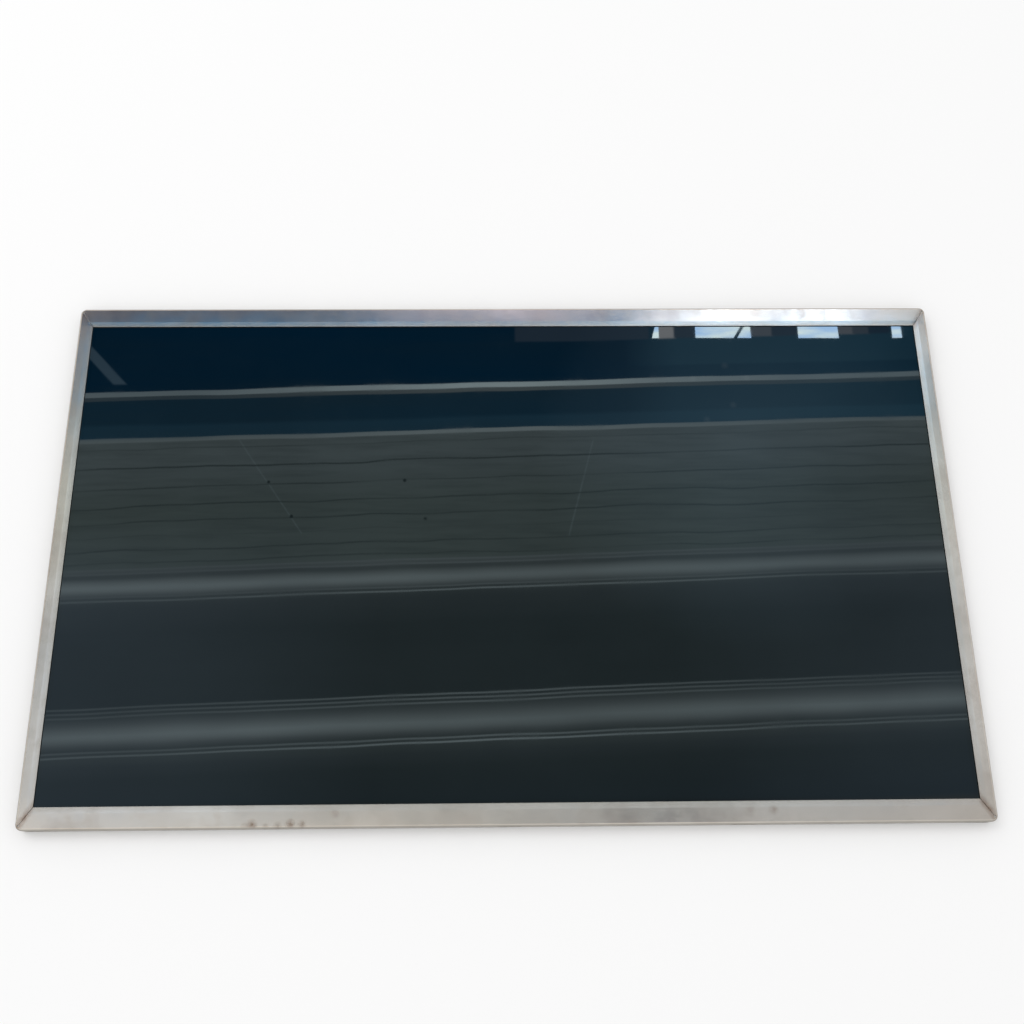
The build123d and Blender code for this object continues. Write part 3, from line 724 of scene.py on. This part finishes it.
def piece(name, fill, materials, slot, *nodes):
    """A mesh that rides with the panel, filled by a function, and stands for some nodes."""
    mesh = bpy.data.meshes.new(name)
    bm = bmesh.new()
    fill(bm)
    bmesh.ops.recalc_face_normals(bm, faces=bm.faces)
    bm.to_mesh(mesh)
    bm.free()
    for material in materials:
        mesh.materials.append(material)
    made = new_object(name, mesh)
    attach(made, "root")
    if nodes:
        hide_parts(*nodes)
    return made


def chip_halves(node, two_sides):
    """Half the length and half the width of a chip's body, without its leads."""
    low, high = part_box(node)
    half_x = (high.x - low.x) / 2.0 - (0.0 if two_sides else lead_reach)
    return half_x, (high.y - low.y) / 2.0 - lead_reach


def chip_feet(node, pitch, two_sides):
    """Where each lead leaves the body, at the board's face, with its way out and the way along its row."""
    low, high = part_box(node)
    middle = Vector(((low.x + high.x) / 2.0, (low.y + high.y) / 2.0, high.z))
    half_x, half_y = chip_halves(node, two_sides)
    for out in ((0, 1), (0, -1), (1, 0), (-1, 0))[: 2 if two_sides else 4]:
        away, along = Vector((*out, 0)), Vector((-out[1], out[0], 0))
        edge, row = (half_y, half_x) if out[1] else (half_x, half_y)
        for place in spread(int(2.0 * row / pitch) - 1, pitch):
            yield middle + away * edge + along * place, away, along


def chip(node, pitch, lead, two_sides):
    """A moulded chip with drafted sides, cut corners and bent leads on two or four sides."""
    low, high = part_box(node)
    middle = (low + high) / 2.0
    half_x, half_y = chip_halves(node, two_sides)
    waist = (low.z + high.z) / 2.0
    levels = (
        (chip_draft, low.z),
        (0.0, waist - chip_standoff),
        (0.0, waist + chip_standoff),
        (chip_draft, high.z - chip_standoff),
    )

    def fill(bm):
        body = []
        for (inset, z), sx, sy in itertools.product(levels, (-1, 1), (-1, 1)):
            x, y = half_x - inset, half_y - inset
            body.append((middle.x + sx * (x - chip_corner), middle.y + sy * y, z))
            body.append((middle.x + sx * x, middle.y + sy * (y - chip_corner), z))
        add_hull(bm, body)
        for foot, away, along in chip_feet(node, pitch, two_sides):

            def set_down(reach, up, across):
                return foot + away * (reach * MM) + along * across - Vector((0, 0, up * MM))

            add_prism(bm, lead_outline, lead / 2.0, set_down, 1)

    piece(node + "_leaded", fill, (finishes["chip_resin"], tin), "chip_resin", node)


def coil_shapes(bm):
    """Drum coils: two cut-cornered plates, a wound waist between them and tinned feet."""
    for low, high in islands("power_coils"):
        middle = (low + high) / 2.0
        half = (high.x - low.x) / 2.0
        height = high.z - low.z
        for z_low, z_high in ((low.z, low.z + 0.3 * height), (high.z - 0.4 * height, high.z - coil_foot)):
            points = []
            for z, inset in ((z_low, coil_edge), (z_low + coil_edge, 0.0), (z_high, 0.0)):
                for i in range(8):
                    turn = math.pi * (i + 0.5) / 4.0
                    reach = (half - inset) / math.cos(math.pi / 8.0)
                    points.append((middle.x + reach * math.cos(turn), middle.y + reach * math.sin(turn), z))
            add_hull(bm, points)
        add_disc(bm, middle.x, middle.y, half * 0.86, low.z + 0.25 * height, high.z - 0.35 * height, 32, 2)
        for side in (-1, 1):
            x = sorted((middle.x + side * half, middle.x + side * half * 0.5))
            foot_low = Vector((x[0], middle.y - half * 0.6, high.z - coil_foot))
            foot_high = Vector((x[1], middle.y + half * 0.6, high.z))
            add_block(bm, foot_low, foot_high, coil_foot_edge, 1)


def capped_shapes(node, cap_share):
    """Small parts with a body and a tinned cap at each end."""

    def fill(bm):
        for low, high in islands(node):
            cap = (high.y - low.y) * cap_share
            edge = (high.z - low.z) * 0.09
            inset = Vector((cap_skin, cap * 0.8, cap_skin))
            add_block(bm, low + inset, high - inset, edge)
            for y in (low.y, high.y - cap):
                cap_low, cap_high = Vector((low.x, y, low.z)), Vector((high.x, y + cap, high.z))
                add_block(bm, cap_low, cap_high, edge, 1)

    return fill


def solder_shapes(bm):
    """A hollow solder fillet at each end of every small part."""
    for low, high in islands("ceramic_capacitors") + islands("chip_resistors"):
        climb = (high.z - low.z) * 0.6
        for end, away in ((low.y, -1), (high.y, 1)):

            def set_down(out, up, across):
                x = (low.x + high.x) / 2.0 + across
                return Vector((x, end + away * out * solder_reach, high.z - up * climb))

            add_prism(bm, solder_outline, (high.x - low.x) * 0.46, set_down)


def occupied(x, y, margin):
    """Whether a place on the board lies under one of its parts."""
    for low, high in board_parts:
        if low.x - margin < x < high.x + margin and low.y - margin < y < high.y + margin:
            return True
    return False


def on_board(x, y, margin):
    """Whether a place lies on the board, clear of its long edges."""
    board_low, board_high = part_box("drive_board")
    far = board_narrow if x < 0.0 else board_high.y
    return board_low.y + margin < y < far - margin


def bus_y(line):
    return board_narrow - bus_edge_gap - line * track_pitch


def fan_out():
    """Short tracks from the chips' feet to a staggered via each: the two ends of every track."""
    for node, pitch, _, two_sides in chip_leads:
        for i, (foot, away, _) in enumerate(chip_feet(node, pitch, two_sides)):
            start = foot + away * lead_reach
            end = start + away * (0.5 + 0.45 * (i % 3)) * MM
            if on_board(end.x, end.y, 2.0 * via_radius) and not occupied(end.x, end.y, via_radius):
                yield start.xy, end.xy


def track_shapes(bm):
    """Tracks under the solder mask: a bus along the board, branches to the films and the signal pairs."""
    z_low, z_high = board_face - mask_rise, board_face
    films = islands("driver_films")
    controller_low, controller_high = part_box("timing_controller_chip")
    film_end = films[0][1].y
    start, end = films[0][0].x, controller_low.x
    for line in range(bus_lines):
        add_track(bm, ((start, bus_y(line)), (end, bus_y(line))), z_low, z_high)
    z_low += 0.1 * mask_rise
    for low, high in films:
        for i, x in enumerate(spread(branches, branch_pitch, (low.x + high.x) / 2.0)):
            y = bus_y(i % bus_lines)
            if occupied(x, y, 0.0) or x > end:
                continue
            points = ((x, film_end), (x, y - bend), (x + math.copysign(bend, end - x), y))
            add_track(bm, points, z_low, z_high)
    z_low += 0.1 * mask_rise
    for start, end in fan_out():
        add_track(bm, (start, end), z_low, z_high)
    z_low += 0.1 * mask_rise
    feet_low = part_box("signal_socket_contacts")[0]
    for i in range(signal_lines):
        x = feet_low.x + i * 2.0 * track_pitch
        y = controller_low.y + lead_reach + (signal_lines - i) * track_pitch
        points = ((x, feet_low.y), (x, y + bend), (x - bend, y), (controller_high.x, y))
        add_track(bm, points, z_low, z_high)


def pad_shapes(bm):
    """Round test pads along the board and small vias beside them, clear of the parts."""
    board_low, board_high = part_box("drive_board")
    z_low, z_high = board_face - 1.3 * mask_rise, board_face
    row = board_narrow - bus_edge_gap - (bus_lines + 3) * track_pitch
    count = int((board_high.x - board_low.x) / pad_pitch)
    for x in spread(count, pad_pitch):
        if not occupied(x, row, pad_radius):
            add_disc(bm, x, row, pad_radius, z_low, z_high, 24)
    count = int((board_high.x - board_low.x) / via_pitch)
    for i, x in enumerate(spread(count, via_pitch)):
        y = row - (1.0 + 0.4 * (i % 3)) * MM
        if not occupied(x, y, via_radius):
            add_disc(bm, x, y, via_radius, z_low, z_high, 12)
    for _, end in fan_out():
        add_disc(bm, end.x, end.y, via_radius, z_low, z_high, 12)


def thread_shapes(bm):
    """A screw thread in each tapped hole of the rails."""
    turns = int((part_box("right_side_rail")[1].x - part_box("right_side_rail")[0].x) / thread_pitch)
    for mount in frame["record"]["mounts"]:
        if mount["kind"] != "bolt_pattern":
            continue
        middle, side = Vector(mount["pos_m"]), mount["axis"][0]
        radius = mount["dims"]["hole_r_mm"] * MM
        half = mount["dims"]["spacing_x_mm"] * MM / 2.0
        for y in (middle.y - half, middle.y + half):
            rings = []
            for step in range((turns - 1) * thread_steps + 1):
                angle = 2.0 * math.pi * step / thread_steps
                deep = (step / thread_steps + 0.5) * thread_pitch
                ring = []
                for reach, shift in ((radius, -0.35), (radius - thread_depth, 0.0), (radius, 0.35)):
                    x = middle.x - side * (deep + shift * thread_pitch)
                    place = (x, y + reach * math.cos(angle), middle.z + reach * math.sin(angle))
                    ring.append(bm.verts.new(place))
                rings.append(ring)
            for a, b in zip(rings, rings[1:]):
                for i in range(3):
                    j = (i + 1) % 3
                    bm.faces.new((a[i], a[j], b[j], b[i]))
            bm.faces.new(rings[0])
            bm.faces.new(rings[-1][::-1])


def back_details():
    """The fine parts on the back and in the screw holes."""
    for leads in chip_leads:
        chip(*leads)
    piece("power_coils_wound", coil_shapes, (finishes["ferrite"], tin, winding), "ferrite", "power_coils")
    for node, slot, share in (
        ("ceramic_capacitors", "capacitor_ceramic", 0.24),
        ("chip_resistors", "resistor_ceramic", 0.22),
    ):
        piece(node + "_capped", capped_shapes(node, share), (finishes[slot], tin), slot, node)
    piece("solder_fillets", solder_shapes, (tin,), "socket_steel")
    piece("board_tracks", track_shapes, (track_green,), "board_laminate")
    piece("board_pads", pad_shapes, (finishes["contact_plating"],), "contact_plating")
    piece("screw_threads", thread_shapes, (finishes["rail_steel"],), "rail_steel")


def sheet_mesh(name, near, far, z):
    """A flat mesh with one face: the left, right and depth of its near edge and of its far edge."""
    mesh = bpy.data.meshes.new(name)
    corners = ((near[0], near[2], z), (near[1], near[2], z), (far[1], far[2], z), (far[0], far[2], z))
    mesh.from_pydata(corners, [], [(0, 1, 2, 3)])
    return mesh


def floor():
    near = (-floor_reach, floor_reach, -floor_reach)
    far = (-floor_reach, floor_reach, floor_reach)
    made = new_object("floor", sheet_mesh("floor", near, far, 0.0))
    paint = Paint("floor", Roughness=0.9, Specular_IOR_Level=0.0)
    paint.put(Base_Color=floor_colour)
    made.data.materials.append(paint.material)


def card_bands(paint, across):
    """The soft bands of the room that the screen mirrors, from the near edge to the far edge."""
    ramp = paint.node("ValToRGB", {"Fac": paint.fit(across, 0.0, 1.0)})
    stops = ramp.color_ramp.elements
    for index, (place, tone) in enumerate(room_bands):
        stop = stops[index] if index < len(stops) else stops.new(place)
        stop.position = place
        stop.color = (*(c / card_gain for c in room_tones[tone]), 1.0)
    inputs = {0: ramp.outputs["Color"], "Scale": card_gain}
    return paint.node("VectorMath", inputs, operation="SCALE").outputs[0]


def card_bars(paint, x, across, bands):
    """The bands with crisp bars of light laid over them, strongest in the middle."""
    strong = paint.fit(paint.calc("ABSOLUTE", x), 0.05, 0.55, 1.0, 0.45)
    for near, far, level in bars:
        bar = paint.calc("MULTIPLY", paint.inside(across, near, far, bar_blur), strong)
        bands = paint.mix(bar, bands, (1.02 * level, 1.05 * level, 1.08 * level))
    return bands


def card_slats(paint, across):
    """Thin dark joints between the slats, fainter here and there, and a few knots."""
    wander = paint.fit(paint.noise(6.0, detail=4.0), 0.3, 0.7, -slat_joint, slat_joint)
    row = paint.calc("ADD", across, wander)
    joints = []
    for place, dark in slat_joints:
        off = paint.calc("ABSOLUTE", paint.calc("SUBTRACT", row, place))
        joints.append(paint.fit(off, slat_joint, 0.0, 0.0, dark))
    broken = paint.fit(paint.noise(5.0, detail=3.0, stretch=(1.0, 9.0, 1.0)), 0.3, 0.55, 0.5, 1.0)
    knots = paint.total([paint.spot(knot, knot_radius, blur=0.6) for knot in slat_knots])
    return paint.calc("ADD", paint.calc("MULTIPLY", paint.total(joints), broken), knots)


def card_seams(paint, x, across):
    """Thin pale seams that cross the slats."""
    seams = []
    for (near_x, near_place), (far_x, far_place) in slat_seams:
        slope = (far_x - near_x) / (far_place - near_place)
        line = paint.calc("MULTIPLY", paint.calc("SUBTRACT", across, near_place), slope)
        off = paint.calc("ABSOLUTE", paint.calc("SUBTRACT", paint.calc("SUBTRACT", x, near_x), line))
        run = paint.inside(across, near_place, far_place, edge_blur)
        seams.append(paint.calc("MULTIPLY", paint.fit(off, slat_seam_width, 0.0, 0.0, 0.35), run))
    return paint.total(seams)


def card_surround(paint, x, y, across):
    """What the bezel mirrors: warm greys, dark at the far left and light at the far right."""
    near = paint.mix(paint.fit(x, -0.1, 0.08), near_left_tone, near_tone)
    side = paint.calc("MULTIPLY", paint.fit(x, -0.62, -0.74), paint.fit(y, 0.03, 0.08))
    near = paint.mix(side, near, left_side_tone)
    dip = paint.calc("MULTIPLY", paint.inside(x, 0.22, 0.28, 0.08), paint.fit(y, -0.15, -0.05))
    near = paint.mix(dip, near, near_dip_tone)
    near = paint.mix(paint.fit(x, 0.35, 0.8), near, near_right_tone)
    left = paint.calc("MULTIPLY", paint.fit(x, 0.2, -0.5), paint.fit(y, 0.05, 0.95))
    right = paint.calc("MULTIPLY", paint.fit(x, 0.5, 0.8), paint.fit(y, 0.5, 0.85))
    near = paint.mix(right, paint.mix(left, near, left_corner_tone), right_corner_tone)
    far = far_left_tone
    for start, end, tone in far_changes:
        far = paint.mix(paint.fit(x, start, end), far, tone)
    return paint.mix(paint.fit(across, screen_far - 0.02, screen_far + 0.05), near, far)


def card_planks(paint, x, across, room):
    """Dim brown planks round the far window and a leaning post at the far left."""
    rows = paint.inside(across, plank_near, screen_far, edge_blur)
    for left, right, level in far_planks:
        plank = paint.calc("MULTIPLY", rows, paint.inside(x, left, right, edge_blur))
        room = paint.mix(plank, room, (level, 0.8 * level + 0.2, 0.75 * level + 0.45))
    lean = paint.calc("ADD", x, paint.calc("MULTIPLY", across, post_lean))
    post = paint.calc(
        "MULTIPLY",
        paint.inside(lean, post_place, post_place + post_width, edge_blur),
        paint.inside(across, post_near, screen_far, edge_blur),
    )
    return paint.mix(post, room, post_tone)


def card_ceiling(paint, x, across):
    """The bands with slats, their joints, seams and streaks, and a fine grain all over."""
    grain = paint.noise(24.0, detail=4.0, stretch=(0.06, 1.0, 1.0))
    streaks = paint.noise(70.0, detail=5.0, stretch=(0.08, 1.0, 1.0), rough=0.6)
    slats = paint.calc("MAXIMUM", card_slats(paint, across), paint.fit(streaks, 0.35, 0.65, 0.0, 0.3))
    ceiling = paint.inside(across, slat_near, slat_far, edge_blur)
    slats = paint.calc("MULTIPLY", slats, ceiling)
    shade = paint.calc("MAXIMUM", slats, paint.fit(grain, 0.3, 0.7, 0.0, 0.2))
    room = paint.mix(card_seams(paint, x, across), card_bands(paint, across), slat_seam_tone)
    return paint.mix(shade, room, slat_joint_tone)


def card_haze(paint, x, across):
    """Light added over the mirrored room: a haze at both sides and a round glow."""
    left = paint.fit(x, -0.2, -0.75, 0.0, left_haze)
    right = paint.fit(x, 0.3, 0.75, 0.0, right_haze)
    sides = paint.calc("MULTIPLY", paint.calc("ADD", left, right), paint.fit(across, 0.55, 0.40))
    glow = paint.calc("MULTIPLY", paint.spot(glow_place, glow_radius), glow_share)
    haze = paint.mix(glow, (0.0, 0.0, 0.0), glow_tone)
    return paint.mix(sides, haze, side_haze_tone)


def card_room(paint, x, across):
    """What the screen mirrors: bands, slats, planks and bars, and a hazy far right corner."""
    room = card_ceiling(paint, x, across)
    corner = paint.fit(x, 0.24, 0.34, 0.0, corner_share)
    corner = paint.calc("MULTIPLY", corner, paint.fit(across, 0.692, 0.70))
    thin = paint.inside(across, corner_thin_near, corner_thin_far, edge_blur)
    corner = paint.calc("MULTIPLY", corner, paint.fit(thin, 0.0, 1.0, 1.0, corner_thin))
    room = paint.mix(corner, room, corner_tone)
    room = card_bars(paint, x, across, card_planks(paint, x, across, room))
    inputs = {0: room, 1: card_haze(paint, x, across)}
    return paint.node("VectorMath", inputs, operation="ADD").outputs[0]


def card_paint():
    """The room in the screen, and round it the greys that the bezel mirrors."""
    paint = Paint("reflection_card")
    x, y, _ = paint.axes()
    tilt = paint.fit(y, 0.15, 0.8, -card_tilt_near, -card_tilt_far)
    across = paint.calc("ADD", y, paint.calc("MULTIPLY", x, tilt))
    over_screen = paint.calc(
        "MULTIPLY",
        paint.inside(x, screen_left, screen_right, 0.01),
        paint.inside(across, screen_near, screen_far, 0.02),
    )
    shade = paint.mix(over_screen, card_surround(paint, x, y, across), card_room(paint, x, across))
    card = paint.calc(
        "MULTIPLY",
        paint.fit(paint.calc("ABSOLUTE", x), card_half_width, card_fade),
        paint.calc("MULTIPLY", paint.fit(y, card_near, 0.0), paint.fit(y, card_far, card_fade)),
    )
    shade = paint.mix(card, (1.0, 1.0, 1.0), shade)
    cloud = paint.calc("MULTIPLY", paint.fit(paint.noise(2.2, detail=4.0), 0.3, 0.7, -0.12, 0.12), card)
    glow = paint.node("Emission", {"Color": shade, "Strength": paint.calc("ADD", cloud, 1.0)})
    paint.tree.links.new(glow.outputs[0], paint.tree.nodes["Material Output"].inputs["Surface"])
    return paint.material


def mirrored_only(name, mesh, material):
    """A light sheet that shows in reflections and nowhere else."""
    sheet = new_object(name, mesh)
    mesh.materials.append(material)
    sheet.visible_camera = False
    sheet.visible_diffuse = False
    sheet.visible_shadow = False


def reflection_card():
    near = (-card_half_width, card_half_width, card_near)
    far = (-card_half_width, card_half_width, card_far)
    mirrored_only("reflection_card", sheet_mesh("reflection_card", near, far, card_height), card_paint())


def window_panes():
    """The panes of a far window, just under the card."""
    paint = Paint("window_sky")
    streaks = paint.fit(paint.noise(30.0, detail=3.0, stretch=(0.4, 2.0, 1.0)), 0.35, 0.65)
    sky = paint.mix(streaks, (0.52, 0.68, 1.0), (1.0, 1.0, 1.0))
    glow = paint.node("Emission", {"Color": sky, "Strength": pane_light})
    paint.tree.links.new(glow.outputs[0], paint.tree.nodes["Material Output"].inputs["Surface"])
    for number, (near_left, near_right, far_left, far_right) in enumerate(panes):
        name = f"window_pane_{number}"
        near = (near_left, near_right, pane_near)
        far = (far_left, far_right, pane_far)
        mirrored_only(name, sheet_mesh(name, near, far, card_height - pane_drop), paint.material)


def white_room():
    """White for what the camera, gloss and clear parts see, and a little less as light."""
    world = bpy.data.worlds.new("white_room")
    world.use_nodes = True
    bpy.context.scene.world = world
    tree = world.node_tree
    path = tree.nodes.new("ShaderNodeLightPath")
    seen = path.outputs["Is Camera Ray"]
    for name in ("Is Glossy Ray", "Is Transmission Ray"):
        both = tree.nodes.new("ShaderNodeMath")
        both.operation = "MAXIMUM"
        tree.links.new(seen, both.inputs[0])
        tree.links.new(path.outputs[name], both.inputs[1])
        seen = both.outputs[0]
    level = tree.nodes.new("ShaderNodeMapRange")
    level.inputs["To Min"].default_value = room_light
    level.inputs["To Max"].default_value = 1.0
    tree.links.new(seen, level.inputs["Value"])
    background = tree.nodes["Background"]
    background.inputs["Color"].default_value = (1.0, 1.0, 1.0, 1.0)
    tree.links.new(level.outputs["Result"], background.inputs["Strength"])


def soft_lamp():
    data = bpy.data.lights.new("soft_lamp", "AREA")
    data.shape = "DISK"
    data.size = lamp_size
    data.energy = lamp_power
    lamp = new_object("soft_lamp", data)
    lamp.location = lamp_place
    lamp.rotation_euler = (-lamp_place).to_track_quat("-Z", "Y").to_euler()
    lamp.visible_glossy = False


def camera():
    data = bpy.data.cameras.new("camera")
    data.lens = camera_lens
    made = new_object("camera", data)
    right = camera_look.cross(camera_up).normalized()
    back = -camera_look.normalized()
    up = back.cross(right)
    turn = Matrix((right, up, back)).transposed().to_4x4()
    made.matrix_world = Matrix.Translation(camera_place) @ turn
    bpy.context.scene.camera = made


opening = find_opening()
finishes = paints()
tin = rolled("tin", (0.72, 0.72, 0.70), rough=0.3)
track_green = moulded("track_green", (0.03, 0.20, 0.085), rough=0.28)
winding = moulded("winding", (0.10, 0.045, 0.02), rough=0.4)
board_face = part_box("drive_board")[0].z
board_narrow = max(v.co.y for v in frame["nodes"]["drive_board"].data.vertices if v.co.x < 0.0)
board_parts = [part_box(node) for node in single_parts]
board_parts += [box for node in part_groups for box in islands(node)]
dress_nodes(finishes)
back_details()
floor()
reflection_card()
window_panes()
white_room()
soft_lamp()
camera()
bpy.context.scene.view_settings.view_transform = "Standard"
